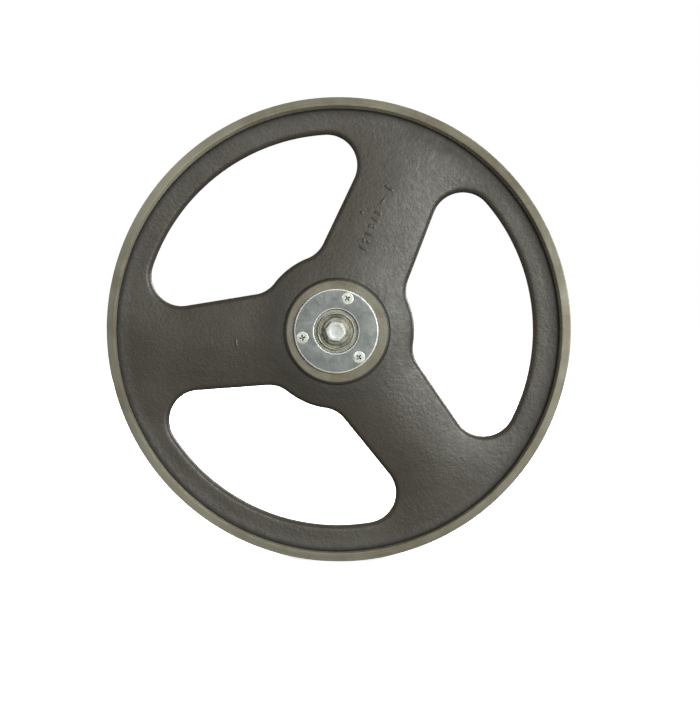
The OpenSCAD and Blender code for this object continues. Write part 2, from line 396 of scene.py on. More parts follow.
def hex_grid(step, reach):
    rows = int(reach / (step * 0.866)) + 1
    made = []
    for j in range(-rows, rows + 1):
        x = np.arange(-reach, reach, step) + (step / 2 if j % 2 else 0)
        made.append(np.c_[x, np.full(len(x), j * step * 0.866)])
    return np.vstack(made)


def in_openings(points):
    """True for each point inside an opening: its line to the right crosses the edge an odd number
    of times."""
    within = np.zeros(len(points), bool)
    for outline, _ in OPENINGS:
        a, b = outline, np.roll(outline, -1, axis=0)
        for i in range(0, len(points), CHUNK):
            p = points[i : i + CHUNK]
            up = (a[:, 1] > p[:, 1:2]) != (b[:, 1] > p[:, 1:2])
            x = a[:, 0] + (p[:, 1:2] - a[:, 1]) / (b[:, 1] - a[:, 1] + 1e-12) * (b[:, 0] - a[:, 0])
            crossings = np.count_nonzero(up & (x > p[:, :1]), axis=1)
            within[i : i + CHUNK] |= crossings % 2 == 1
    return within


def web_points(step, inner_r, outer_r, centre, marks):
    """Free points of a web surface, clear of its boundaries, and their distance to the openings."""
    p = hex_grid(step, outer_r + 2)
    if marks:
        fine = hex_grid(MARK_GRID, outer_r + 2)
        keep_fine, keep_coarse = np.zeros(len(fine), bool), np.ones(len(p), bool)
        for c, length, width, _ in mark_places():
            reach = max(length, width) / 2 + 1.2
            keep_fine |= np.hypot(*(fine - c).T) < reach
            keep_coarse &= np.hypot(*(p - c).T) > reach + step * 0.4
        p = np.vstack([p[keep_coarse], fine[keep_fine]])
    r_out = np.hypot(p[:, 0] - centre[0], p[:, 1] - centre[1])
    r_in = np.hypot(p[:, 0], p[:, 1])
    p = p[(r_out < outer_r - step * 0.6) & (r_in > inner_r + step * 0.6)]
    p = p[~in_openings(p)]
    d = to_opening(p)
    clear = d > LAST_OFFSET + step * 0.5
    return p[clear], d[clear]


def on_web(points, front):
    p = np.asarray(points)[:, :2]
    d = to_opening(p)
    return front_z(d, np.hypot(*p.T)) + relief(p) if front else rear_z(d)


def turned_ring(shell, r, z, centre=(0.0, 0.0), grain=0.0, n=N_RIM):
    return shell.add(circle(r, z, n, centre), grain)


def web_ring(r, n, front, centre=(0.0, 0.0)):
    ring = circle(r, 0, n, centre)
    ring[:, 2] = on_web(ring, front)
    return ring


def raised(ring, outward, up):
    """A ring moved out from its own centre by outward, and up by that much."""
    centre = ring[:, :2].mean(axis=0)
    d = ring[:, :2] - centre
    r = np.linalg.norm(d, axis=1, keepdims=True)
    return np.c_[centre + d * (r + outward) / r, ring[:, 2] + up]


def opening_walls(shell):
    """Rounded shoulders and walls of the three openings. Gives the loops that bound the webs."""
    front_loops, rear_loops = [], []
    front_d = [FRONT_ROUND * (1 - math.cos(math.radians(a))) for a in range(0, 91, 15)]
    rear_d = [REAR_ROUND * (1 - math.cos(math.radians(a))) for a in range(0, 91, 18)]
    front_d += [FRONT_ROUND + 1.2, LAST_OFFSET]
    rear_d += [REAR_ROUND + 1.6, LAST_OFFSET]
    for points, normals in OPENINGS:
        loops = []
        for d in reversed(front_d):
            p = points + normals * d
            loops.append(shell.add(np.c_[p, front_z(np.full(len(p), d), np.hypot(*p.T))], 1.0))
        middle = (float(front_z(0.0, DOME_R)) + float(rear_z(0.0))) / 2
        for d, z in ((0, 0.6), (-FLASH, 0.2), (-FLASH, -0.2), (0, -0.6)):
            ridge = np.full(len(points), middle + z)
            loops.append(shell.add(np.c_[points + normals * d, ridge], 0.3))
        for d in rear_d:
            z = np.full(len(points), float(rear_z(d)))
            loops.append(shell.add(np.c_[points + normals * d, z], 1.0))
        shell.loft(loops, CAST)
        front_loops.append(loops[0])
        rear_loops.append(loops[-1])
    return front_loops, rear_loops


def rim_corner(before, z, after):
    """The rounded corner between the tread and a rim face at height z."""
    return rounded([(*before, 0), (WHEEL_R, z, RIM_EDGE_ROUND), (*after, 0)], False, 15)[1:-1]


def rim_loops(shell):
    """The rim from the front web's edge over its face and tread to the rear web's edge."""
    foot = web_ring(FOOT_R - FOOT_FILLET, N_RIM, True, FOOT_SHIFT)
    first = shell.add(foot, 1.0)
    loops = [first]
    for a in (18, 36, 54, 72, 90):
        t = math.radians(a)
        step = raised(foot, FOOT_FILLET * math.sin(t), FOOT_FILLET * (1 - math.cos(t)))
        loops.append(shell.add(step, 0.8))
    shell.loft(loops, CAST)
    wall = [loops[-1]]
    top = raised(foot, FOOT_FILLET, FOOT_FILLET)
    rest = circle(FACE_INNER_R, RIM_FRONT - 0.25, N_RIM)
    for t in (0.35, 0.7, 1.0):
        wall.append(shell.add(top * (1 - t) + rest * t, 0.35 if t < 1 else 0.0))
    shell.loft(wall, WALL)
    face = [wall[-1]]
    for r, z in ((0.08, -0.07), (0.25, 0), (2.0, 0), (4.0, 0), (5.55, 0)):
        face.append(turned_ring(shell, FACE_INNER_R + r, RIM_FRONT + z))
    shell.loft(face, TURNED)
    edge = [face[-1]]
    for r, z in rim_corner((WHEEL_R - 2, RIM_FRONT), RIM_FRONT, (WHEEL_R, RIM_FRONT - 2)):
        edge.append(turned_ring(shell, r, z))
    for t in (0.25, 0.5, 0.75):
        edge.append(turned_ring(shell, WHEEL_R, RIM_FRONT + (RIM_REAR - RIM_FRONT) * t))
    for r, z in rim_corner((WHEEL_R, RIM_REAR + 2), RIM_REAR, (WHEEL_R - 2, RIM_REAR)):
        edge.append(turned_ring(shell, r, z))
    shell.loft(edge, TREAD)
    back = [edge[-1]]
    for r in (174.0, 171.0, REAR_FACE_INNER_R):
        back.append(turned_ring(shell, r, RIM_REAR))
    back.append(turned_ring(shell, REAR_FACE_INNER_R - 0.25, RIM_REAR + 0.2))
    shell.loft(back, TURNED)
    inner = [back[-1]]
    inner.append(turned_ring(shell, REAR_FACE_INNER_R - 0.5, RIM_REAR + 1.2, grain=0.4))
    inner.append(turned_ring(shell, REAR_FACE_INNER_R - 0.9, RIM_REAR + 4.0, grain=1.0))
    web = web_ring(REAR_RIM_R, N_RIM, False)
    for a in (90, 72, 54, 36, 18):
        t = math.radians(a)
        step = raised(web, REAR_FILLET * math.sin(t), -REAR_FILLET * (1 - math.cos(t)))
        inner.append(shell.add(step, 1.0))
    inner.append(shell.add(web, 1.0))
    shell.loft(inner, CAST)
    return first, inner[-1]


SCREW_CIRCLE_R = 26.4
SCREW_ANGLE = 71.0
SCREW_R = 2.1
BORE_R = 20.0
SEAT_DEPTH = 12.0
SHOULDER_R = 17.5
CLIP_GROOVE_R = 21.25
SCREW_HOLE_DEPTH = 11.0
SCREW_HOLE_TIP = 12.2

# The boss's as-cast edge and the start of its turned face: radius, depth below the face, grain.
BOSS_EDGE = [(40.5, 0.66, 0.2), (40.0, 0.42, 0.1), (39.4, 0.2, 0), (38.8, 0.07, 0)]
BOSS_FACE = [(38.4, 0.02), (38.0, 0)]

# The barrel behind the web: radius, and height above the hub's rear face.
BARREL = [
    (27.9, 1.0), (28.2, 3.0), (28.6, 6.0), (29.0, 9.0), (29.5, 12.0), (30.1, 14.5),
    (31.0, 17.0), (32.2, 19.2), (33.8, 21.3), (35.8, 23.2), (38.2, 24.8), (41.0, 25.9),
]


def screw_centres():
    t = np.radians(SCREW_ANGLE + 120 * np.arange(3))
    return SCREW_CIRCLE_R * np.c_[np.cos(t), np.sin(t)]


def hub_loops(shell):
    """The hub from the front web up over the boss, through the bores and back over the barrel."""
    foot = web_ring(BOSS_FOOT_R + BOSS_FILLET, N_HUB, True, BOSS_SHIFT)
    first = shell.add(foot, 1.0)
    loops = [first]
    for a in (22, 45, 67, 82):
        t = math.radians(a)
        step = raised(foot, -BOSS_FILLET * math.sin(t), BOSS_FILLET * (1 - math.cos(t)))
        loops.append(shell.add(step, 0.6))
    for r, z, grain in BOSS_EDGE:
        loops.append(turned_ring(shell, r, BOSS_Z - z, BOSS_SHIFT, grain, N_HUB))
    shell.loft(loops, CAST)
    rim = [loops[-1]]
    for r, z in BOSS_FACE:
        rim.append(turned_ring(shell, r, BOSS_Z - z, BOSS_SHIFT, n=N_HUB))
    mouth = turned_ring(shell, BORE_R + 0.8, BOSS_Z, n=N_HUB)
    shell.loft(rim, TURNED)
    holes = []
    for c in screw_centres():
        hole = shell.add(circle(SCREW_R, BOSS_Z, 32, c))
        floor = shell.add(circle(SCREW_R, BOSS_Z - SCREW_HOLE_DEPTH, 32, c))
        shell.bridge(hole, floor, TURNED)
        shell.fan(floor, shell.add([(c[0], c[1], BOSS_Z - SCREW_HOLE_TIP)])[0], TURNED)
        holes.append(hole)
    middle = [turned_ring(shell, r, BOSS_Z, n=N_HUB) for r in (37.0, 33.5)]
    shell.loft([rim[-1], *middle], TURNED)
    shell.fill(middle[-1], [mouth, *holes], mat=TURNED)
    front_seat = BOSS_Z - SEAT_DEPTH
    rear_seat = rear_of("rear_outer_race") + SEAT_DEPTH
    clip_front, clip_rear = front_of("rear_circlip"), rear_of("rear_circlip")
    bore = [
        (BORE_R, BOSS_Z - 0.8), (BORE_R, front_seat),
        (SHOULDER_R + 0.4, front_seat), (SHOULDER_R, front_seat - 0.4),
        (SHOULDER_R, rear_seat + 0.4), (SHOULDER_R + 0.4, rear_seat),
        (BORE_R, rear_seat), (BORE_R, clip_front),
        (CLIP_GROOVE_R, clip_front), (CLIP_GROOVE_R, clip_rear),
        (BORE_R, clip_rear), (BORE_R, HUB_REAR + 0.8),
        (BORE_R + 0.8, HUB_REAR), (27.0, HUB_REAR), (27.35, HUB_REAR + 0.12),
    ]
    inner = [mouth] + [turned_ring(shell, r, z, n=N_HUB) for r, z in bore]
    shell.loft(inner, TURNED)
    barrel = [inner[-1]]
    for r, z in BARREL:
        barrel.append(turned_ring(shell, r, HUB_REAR + z, grain=0.5 if z < 2 else 1.0, n=N_HUB))
    web = web_ring(REAR_HUB_R, N_HUB, False)
    barrel.append(shell.add(web, 1.0))
    shell.loft(barrel, CAST)
    return first, barrel[-1]


def roughen(mesh, weight):
    """Moves the as-cast points along their normals: soft waves and small pebbles."""
    n = len(mesh.vertices)
    co = np.empty(n * 3)
    mesh.vertices.foreach_get("co", co)
    normal = np.empty(n * 3, np.float32)
    mesh.vertex_normals.foreach_get("vector", normal)
    co, normal = co.reshape(-1, 3), normal.reshape(-1, 3).astype(float)
    move = np.zeros(n)
    for i in np.flatnonzero(weight > 0):
        p = Vector(co[i]) / MM
        wave = noise.noise(p / 24.0) * 0.16 + noise.noise(p / 9.0 + Vector((7, 3, 1))) * 0.06
        patch = 0.55 + 0.6 * noise.noise(p / 38.0 + Vector((2, 9, 4)))
        pebble = noise.noise(p / 3.1 + Vector((5, 5, 5))) * 0.11 * max(0.25, patch)
        move[i] = (wave + pebble) * weight[i]
    co += normal * move[:, None] * MM
    mesh.vertices.foreach_set("co", co.ravel())
    mesh.update()


# Where the rim is stained dark (below 0) or rubbed bright (above 0): angle and width in
# degrees, strength.
RIM_STAINS = [
    (48, 20, -0.9), (88, 14, -0.35), (136, 18, 0.85), (226, 18, 0.75), (3, 16, 0.35),
    (292, 10, -0.2), (196, 9, -0.15),
]

# Painted shade on the front web, patches right of the hub and near the rim at the upper right:
# angle and its spread in degrees, radius and its spread in mm, strength.
WEB_PAINTED_SHADE = [(0, 28, 58.0, 5.0, 0.33), (57, 17, 163.0, 8.0, 0.5)]


# Heights that tell the web's front side and its rear recess apart.
FRONT_SIDE_Z = 38
REAR_SIDE_Z = (24, 36)


def bell(x, middle, width):
    return np.exp(-(((x - middle) / width) ** 2))


def store(mesh, name, values):
    attribute = mesh.attributes.new(name, "FLOAT", "POINT")
    attribute.data.foreach_set("value", values.astype(np.float32))


def stain(mesh):
    """Stores painted shade, with some oil at the rim's foot, as one mask, and the rim's stains as
    rim_tone.
    """
    co = np.array([v.co for v in mesh.vertices]) / MM
    x, y, z = co[:, 0], co[:, 2], -co[:, 1]
    r, angle = np.hypot(x, y), np.degrees(np.arctan2(y, x))
    r_foot = np.hypot(x - FOOT_SHIFT[0], y - FOOT_SHIFT[1])
    r_boss = np.hypot(x - BOSS_SHIFT[0], y - BOSS_SHIFT[1])
    front = z > FRONT_SIDE_Z
    rear = (z > REAR_SIDE_Z[0]) & (z < REAR_SIDE_Z[1])
    below_rim = front & (z < RIM_FRONT - 2.5)
    web = front & (z < BOSS_Z - 0.1)
    lower_left = 0.5 + 0.5 * np.cos(np.radians(angle - 225))
    # Painted shade, darker in creases and on one side: a thin line at the rim's foot (partly oil)
    # and a wider band there, a ring round the boss's foot, the hub's lower left side away from the
    # key light, and the rear web's corner by the rim.
    layers = [
        bell(r_foot, FOOT_R - 0.9, 1.5) * below_rim,
        0.5 * bell(r_foot, FOOT_R, 5.0) * below_rim,
        0.5 * bell(r_boss, BOSS_FOOT_R - 0.6, 1.0) * (front & (z < BOSS_Z - 0.03)),
        0.5 * lower_left * bell(r, 48.0, 12.0) * web,
        0.7 * bell(r, 167.0, 2.2) * rear,
    ]
    # Two patches of painted shade on the front web.
    for at, spread, radius, reach, strength in WEB_PAINTED_SHADE:
        patch = bell(turn_from(at, angle), 0, spread) * bell(r, radius, reach)
        layers.append(strength * patch * web)
    store(mesh, "painted_shade_and_dirt", np.max(layers, axis=0))
    tone = 0
    for at, width, strength in RIM_STAINS:
        tone = tone + strength * bell(turn_from(at, angle), 0, width)
    store(mesh, "rim_tone", tone * (r > FACE_INNER_R - 1.0))


def turn_from(at, angle):
    """Degrees from one direction to others, the short way round."""
    return (angle - at + 180) % 360 - 180


# ---------------------------------------------------------------- materials


class Net:
    """A material's node tree, with a Principled BSDF named bsdf."""

    def __init__(self, name, **fixed):
        self.mat = bpy.data.materials.new(name)
        self.mat.use_nodes = True
        self.tree = self.mat.node_tree
        self.tree.nodes.clear()
        out = self.tree.nodes.new("ShaderNodeOutputMaterial")
        self.bsdf = self.tree.nodes.new("ShaderNodeBsdfPrincipled")
        self.tree.links.new(self.bsdf.outputs[0], out.inputs["Surface"])
        for socket, value in fixed.items():
            self.set(self.bsdf, socket.replace("_", " "), value)

    def set(self, node, socket, value):
        target = node.inputs[socket]
        if isinstance(value, bpy.types.NodeSocket):
            self.tree.links.new(value, target)
        elif target.type == "RGBA" and len(value) == 3:
            target.default_value = (*value, 1.0)
        else:
            target.default_value = value

    def put(self, kind, sockets=None, **props):
        node = self.tree.nodes.new("ShaderNode" + kind)
        for name, value in props.items():
            setattr(node, name, value)
        for socket, value in (sockets or {}).items():
            self.set(node, socket, value)
        return node

    def place(self):
        return self.put("TexCoord").outputs["Object"]

    def math(self, operation, a, b=None):
        sockets = {0: a} if b is None else {0: a, 1: b}
        return self.put("Math", sockets, operation=operation).outputs[0]

    def noise(self, vector, scale, detail=3.0, rough=0.5, distort=0.0):
        sockets = {
            "Vector": vector, "Scale": scale, "Detail": detail,
            "Roughness": rough, "Distortion": distort,
        }
        return self.put("TexNoise", sockets).outputs["Fac"]

    def ramp(self, fac, stops):
        node = self.put("ValToRGB", {"Fac": fac})
        band = node.color_ramp
        while len(band.elements) < len(stops):
            band.elements.new(0.5)
        for element, (at, colour) in zip(band.elements, stops):
            element.position = at
            element.color = (*colour, 1.0)
        return node.outputs["Color"]

    def span(self, fac, low, high, to_low, to_high):
        sockets = {
            "Value": fac, "From Min": low, "From Max": high,
            "To Min": to_low, "To Max": to_high,
        }
        return self.put("MapRange", sockets).outputs["Result"]

    def mix(self, fac, a, b):
        node = self.put("Mix", data_type="RGBA")
        for socket, value in (("Factor", fac), ("A", a), ("B", b)):
            kind = "VALUE" if socket == "Factor" else "RGBA"
            target = next(s for s in node.inputs if s.name == socket and s.type == kind)
            if isinstance(value, bpy.types.NodeSocket):
                self.tree.links.new(value, target)
            else:
                target.default_value = (*value, 1.0) if isinstance(value, tuple) else value
        return next(s for s in node.outputs if s.type == "RGBA")

    def bump(self, height, distance_mm, strength=1.0, under=None):
        sockets = {"Height": height, "Distance": distance_mm * MM, "Strength": strength}
        if under is not None:
            sockets["Normal"] = under
        return self.put("Bump", sockets).outputs["Normal"]

    def lathe_marks(self, pitch_mm, spread):
        """Coordinates that run with the tool marks of turned faces and treads."""
        x, y, z = self.put("SeparateXYZ", {0: self.place()}).outputs
        squares = self.math("ADD", self.math("MULTIPLY", x, x), self.math("MULTIPLY", z, z))
        r = self.math("SQRT", squares)
        away = self.math("MAXIMUM", r, 0.0005)
        across = self.math("MULTIPLY", self.math("ADD", r, y), 1.0 / (pitch_mm * MM))
        cosine = self.math("MULTIPLY", self.math("DIVIDE", x, away), spread)
        sine = self.math("MULTIPLY", self.math("DIVIDE", z, away), spread)
        return self.put("CombineXYZ", {0: cosine, 1: sine, 2: across}).outputs[0]

    def finish(self, colour, rough=None, normal=None):
        for socket, value in (("Base Color", colour), ("Roughness", rough), ("Normal", normal)):
            if value is not None:
                self.set(self.bsdf, socket, value)
        return self.mat


IRON_TONES = [
    (0.3, (0.041, 0.033, 0.0245)),
    (0.55, (0.053, 0.045, 0.0345)),
    (0.72, (0.060, 0.055, 0.045)),
]
IRON_MOTTLE = (0.046, 0.037, 0.028)
IRON_SPECK = (0.13, 0.125, 0.11)
# Near black for painted shade in creases and on the hub's shaded side, and for some oil at the
# rim's foot.
OIL_AND_PAINTED_SHADE = (0.008, 0.0065, 0.005)


def cast_iron():
    net = Net("cast_iron", Specular_IOR_Level=0.5)
    at = net.place()
    broad = net.noise(at, 26, 4, 0.55)
    mottle = net.noise(at, 170, 4, 0.6)
    speck = net.noise(at, 900, 3, 0.6)
    colour = net.ramp(broad, IRON_TONES)
    colour = net.mix(net.span(mottle, 0.35, 0.7, 0.0, 0.5), colour, IRON_MOTTLE)
    colour = net.mix(net.span(speck, 0.55, 0.75, 0.0, 0.3), colour, IRON_SPECK)
    # The mask mixes in painted shade, with some oil at the rim's foot, and makes the iron rougher
    # there.
    shade_and_dirt = net.put("Attribute", attribute_name="painted_shade_and_dirt").outputs["Fac"]
    colour = net.mix(net.math("MULTIPLY", shade_and_dirt, 0.85), colour, OIL_AND_PAINTED_SHADE)
    rough = net.span(mottle, 0.3, 0.7, 0.38, 0.50)
    rough = net.math("ADD", rough, net.math("MULTIPLY", shade_and_dirt, 0.3))
    cells = net.put("TexVoronoi", {"Vector": at, "Scale": 420.0}, feature="SMOOTH_F1")
    pebble = cells.outputs["Distance"]
    patch = net.span(net.noise(at, 34, 2), 0.35, 0.65, 0.55, 1.0)
    normal = net.bump(pebble, 0.24, net.math("MULTIPLY", patch, 0.75))
    normal = net.bump(net.noise(at, 750, 3, 0.55), 0.22, patch, normal)
    return net.finish(colour, rough, normal)


def scaled(colour, factors):
    return tuple(c * k for c, k in zip(colour, factors))


def turned_iron(name, light, dark, rough_low, rough_high, pitch, metal=0.85):
    net = Net(name, Metallic=metal)
    at = net.place()
    marks = net.noise(net.lathe_marks(pitch, 1.6), 1.0, 2, 0.5)
    worn = net.noise(net.lathe_marks(1.6, 9.0), 1.0, 3, 0.55)
    stain = net.noise(at, 45, 4, 0.6)
    colour = net.ramp(marks, [(0.32, dark), (0.62, light)])
    brown = scaled(dark, (0.85, 0.70, 0.58))
    colour = net.mix(net.span(stain, 0.42, 0.7, 0.0, 0.6), colour, brown)
    tone = net.put("Attribute", attribute_name="rim_tone").outputs["Fac"]
    colour = net.mix(net.span(tone, 0.0, 1.0, 0.0, 0.6), colour, scaled(light, (1.6,) * 3))
    oily = scaled(dark, (0.62, 0.56, 0.42))
    colour = net.mix(net.span(tone, 0.0, -1.0, 0.0, 0.75), colour, oily)
    colour = net.mix(net.span(worn, 0.55, 0.8, 0.0, 0.4), colour, scaled(light, (1.35,) * 3))
    rough = net.span(stain, 0.3, 0.7, rough_low, rough_high)
    normal = net.bump(marks, 0.035, 0.7)
    normal = net.bump(net.noise(at, 600, 3, 0.6), 0.03, 0.6, normal)
    return net.finish(colour, rough, normal)


def zinc(name, light, dark, rough_low, rough_high, metal=0.5, scale=130):
    net = Net(name, Metallic=metal)
    at = net.place()
    cloud = net.noise(at, scale, 4, 0.6, 0.4)
    spangle = net.put("TexVoronoi", {"Vector": at, "Scale": 700.0}).outputs["Distance"]
    fine = net.noise(at, 1400, 2, 0.5)
    colour = net.ramp(cloud, [(0.32, dark), (0.66, light)])
    colour = net.mix(net.span(spangle, 0.0, 0.8, 0.0, 0.45), colour, scaled(dark, (0.7,) * 3))
    rough = net.span(cloud, 0.3, 0.7, rough_high, rough_low)
    normal = net.bump(spangle, 0.02, 0.5)
    normal = net.bump(fine, 0.03, 0.6, normal)
    return net.finish(colour, rough, normal)


def plain_metal(name, colour, rough, scale=300, metal=1.0, streak=0.3):
    net = Net(name, Metallic=metal)
    at = net.place()
    cloud = net.noise(at, scale, 4, 0.6)
    dull = scaled(colour, (1 - streak,) * 3)
    shade = net.mix(net.span(cloud, 0.37, 0.63, 0.0, 1.0), dull, colour)
    normal = net.bump(net.noise(at, 1500, 2, 0.5), 0.015, 0.5)
    return net.finish(shade, net.span(cloud, 0.3, 0.7, rough * 1.25, rough * 0.85), normal)


def rubber():
    net = Net("seal_rubber", Specular_IOR_Level=0.4)
    at = net.place()
    dust = net.noise(at, 220, 4, 0.6)
    colour = net.ramp(dust, [(0.35, (0.012, 0.012, 0.012)), (0.8, (0.035, 0.033, 0.030))])
    return net.finish(colour, net.span(dust, 0.3, 0.7, 0.5, 0.75), net.bump(dust, 0.04, 0.6))


IRON = cast_iron()
FACE = turned_iron(
    "turned_face", (0.225, 0.21, 0.162), (0.15, 0.138, 0.102), 0.55, 0.70, 0.16, 0.3,
)
TREAD_MAT = turned_iron(
    "turned_tread", (0.30, 0.28, 0.23), (0.20, 0.185, 0.145), 0.5, 0.65, 0.22, 0.4,
)
WALL_MAT = turned_iron(
    "rim_wall", (0.34, 0.32, 0.245), (0.23, 0.21, 0.155), 0.55, 0.7, 0.3, 0.2,
)
PLATE_ZINC = zinc(
    "plate_zinc", (0.27, 0.281, 0.279), (0.175, 0.184, 0.184), 0.52, 0.66, 0.35,
)
# A much lighter copy of the zinc: a painted highlight on the plate's chamfered edges and the bolt's
# hex chamfer.
ZINC_HIGHLIGHT = zinc(
    "zinc_painted_highlight", (0.78, 0.80, 0.76), (0.58, 0.60, 0.56), 0.42, 0.56, 0.3,
)
BOLT_ZINC = zinc(
    "bolt_zinc", (0.70, 0.725, 0.71), (0.46, 0.48, 0.465), 0.36, 0.5, 0.5,
)
SCREW_ZINC = zinc(
    "screw_zinc", (0.90, 0.92, 0.86), (0.36, 0.37, 0.33), 0.34, 0.5, 0.4, 420,
)
# A darker metal than the screw heads: painted shade inside the cross recesses.
RECESS_SHADE = plain_metal("recess_painted_shade", (0.34, 0.34, 0.31), 0.45)
WASHER_ZINC = plain_metal("washer_zinc", (0.31, 0.30, 0.24), 0.5, 140, 0.4, 0.5)
WASHER_STEEL = plain_metal("washer_steel", (0.27, 0.258, 0.20), 0.5, 110, 0.4, 0.6)
# A lighter copy of the washer steel: a painted highlight on the end washer's outer lip.
WASHER_HIGHLIGHT = plain_metal("washer_painted_highlight", (0.42, 0.41, 0.35), 0.4, 160, 0.75, 0.4)
AXLE_STEEL = turned_iron(
    "axle_steel", (0.44, 0.44, 0.42), (0.30, 0.30, 0.285), 0.28, 0.4, 0.12, 0.85,
)


# ---------------------------------------------------------------- pieces


def wheel_casting():
    shell = Shell()
    front_holes, rear_holes = opening_walls(shell)
    rim_front, rim_rear = rim_loops(shell)
    hub_front, hub_rear = hub_loops(shell)
    p, d = web_points(GRID, BOSS_CLEAR_R, FOOT_R - FOOT_FILLET, FOOT_SHIFT, True)
    z = front_z(d, np.hypot(*p.T)) + relief(p)
    shell.fill(rim_front, [hub_front, *front_holes], np.c_[p, z], CAST)
    p, d = web_points(REAR_GRID, REAR_HUB_R, REAR_RIM_R, (0, 0), False)
    shell.fill(rim_rear, [hub_rear, *rear_holes], np.c_[p, rear_z(d)], CAST)
    made = shell.build("wheel_casting_body", [IRON, FACE, TREAD_MAT, WALL_MAT])
    stain(made.data)
    return made


def retainer_plate():
    shell = Shell()
    z0, z1 = rear_of("retainer_plate"), front_of("retainer_plate")
    r0, r1, n = 17.0, radius_of("retainer_plate"), 192
    inner = [
        (r0, z0 + 0.15), (r0, z1 - 0.5), (r0 + 0.1, z1 - 0.25), (r0 + 0.3, z1 - 0.1),
        (r0 + 0.85, z1),
    ]
    outer = [
        (r1 - 1.05, z1), (r1 - 0.35, z1 - 0.12), (r1 - 0.1, z1 - 0.28), (r1, z1 - 0.5),
        (r1, z0 + 0.2), (r1 - 0.2, z0),
    ]
    inner = [turned_ring(shell, r, z, n=n) for r, z in inner]
    outer = [turned_ring(shell, r, z, n=n) for r, z in outer]
    # The bore, the outer edge and their chamfers take the lighter zinc, a painted highlight.
    shell.loft(inner, 1)
    shell.loft(outer, 1)
    under = turned_ring(shell, r0 + 0.15, z0, n=n)
    shell.bridge(under, inner[0], 1)
    tops, bottoms = [], []
    for c in screw_centres():
        sink = [(4.95, z1), (4.85, z1 - 0.06), (SCREW_R + 0.15, z1 - 2.7), (SCREW_R + 0.15, z0)]
        loops = [shell.add(circle(r, z, 48, c)) for r, z in sink]
        shell.loft(loops, 0)
        tops.append(loops[0])
        bottoms.append(loops[-1])
    shell.fill(outer[0], [inner[-1], *tops], mat=0)
    shell.fill(outer[-1], [under, *bottoms], mat=0)
    return shell.build("retainer_plate_ring", [PLATE_ZINC, ZINC_HIGHLIGHT], 28)


def cross_outline(scale, z, centre, turn):
    """A cross recess: four rounded arms."""
    half, arm = 0.55 * scale, 2.3 * scale
    quarter = [
        (half * 1.5, half), (arm - 0.3 * scale, half), (arm, half * 0.5),
        (arm, -half * 0.5), (arm - 0.3 * scale, -half), (half * 1.5, -half),
    ]
    points = []
    for k in range(4):
        t = turn - k * math.pi / 2
        c, s = math.cos(t), math.sin(t)
        points += [(centre[0] + x * c - y * s, centre[1] + x * s + y * c, z) for x, y in quarter]
    return points


WASHER_BORE_R = 5.1
BOLT_SHANK_R = 3.97
BOLT_SHANK_LENGTH = 26.0

# How far each screw's cross recess happens to be turned, in radians.
RECESS_TURNS = (0.62, 0.20, 0.80)


def plate_screws():
    shell = Shell()
    top = front_of("plate_screws")
    for c, turn in zip(screw_centres(), RECESS_TURNS):
        line = [
            (3.9, -0.02), (4.45, -0.06), (4.72, -0.16), (4.82, -0.32), (4.7, -0.5),
            (SCREW_R, -2.75), (SCREW_R, -11.2), (1.5, -12.0),
        ]
        loops = [shell.add(circle(r, top + z, 48, c)) for r, z in line]
        shell.loft(loops, 0)
        shell.fan(loops[-1], shell.add([(c[0], c[1], top - 12.0)])[0], 0)
        mouth = shell.add(cross_outline(1.0, top - 0.02, c, turn))
        steps = [mouth]
        for scale, depth in ((0.93, 0.12), (0.66, 1.1), (0.42, 1.55)):
            steps.append(shell.add(cross_outline(scale, top - depth, c, turn)))
        # The cross recess takes the darker metal, painted shade.
        shell.loft(steps, 1)
        shell.fan(steps[-1], shell.add([(c[0], c[1], top - 1.75)])[0], 1)
        shell.fill(loops[0], [mouth], mat=0)
    return shell.build("plate_screws_cross_head", [SCREW_ZINC, RECESS_SHADE], 30)


def end_washer():
    shell = Shell()
    z0, z1, r = rear_of("end_washer"), front_of("end_washer"), radius_of("end_washer")
    line = rounded([
        (WASHER_BORE_R, z0, 0), (r, z0, 0.3), (r, z1, 0.45), (13.5, z1, 0.25),
        (12.9, z1 - 0.9, 0.35), (11.2, z1 - 0.9, 0.3), (10.8, z1 - 0.02, 0.1),
        (WASHER_BORE_R, z1 - 0.02, 0),
    ])
    # The outer lip takes the lighter copy of the steel, a painted highlight.
    highlight_lip = [1 if r > 12.95 and z > z1 - 0.5 else 0 for r, z in line]
    lathe(shell, line, 160, mats=highlight_lip)
    return shell.build("end_washer_turned", [WASHER_STEEL, WASHER_HIGHLIGHT], 30)


def bolt_washer():
    shell = Shell()
    z0, z1, r = rear_of("bolt_washer"), front_of("bolt_washer"), radius_of("bolt_washer")
    line = rounded([
        (WASHER_BORE_R, z0, 0.15), (r, z0, 0.12), (r, z1, 0.5), (WASHER_BORE_R, z1, 0.3),
    ], step=15)
    lathe(shell, line, 128)
    return shell.build("bolt_washer_stamped", [WASHER_ZINC], 40)


# How deep the bolt's thread is cut at each third of its pitch.
THREAD_CUTS = (0.0, 0.45, 0.4)
HEX_HALF_FLAT = 7.15
HEX_TURN = -10


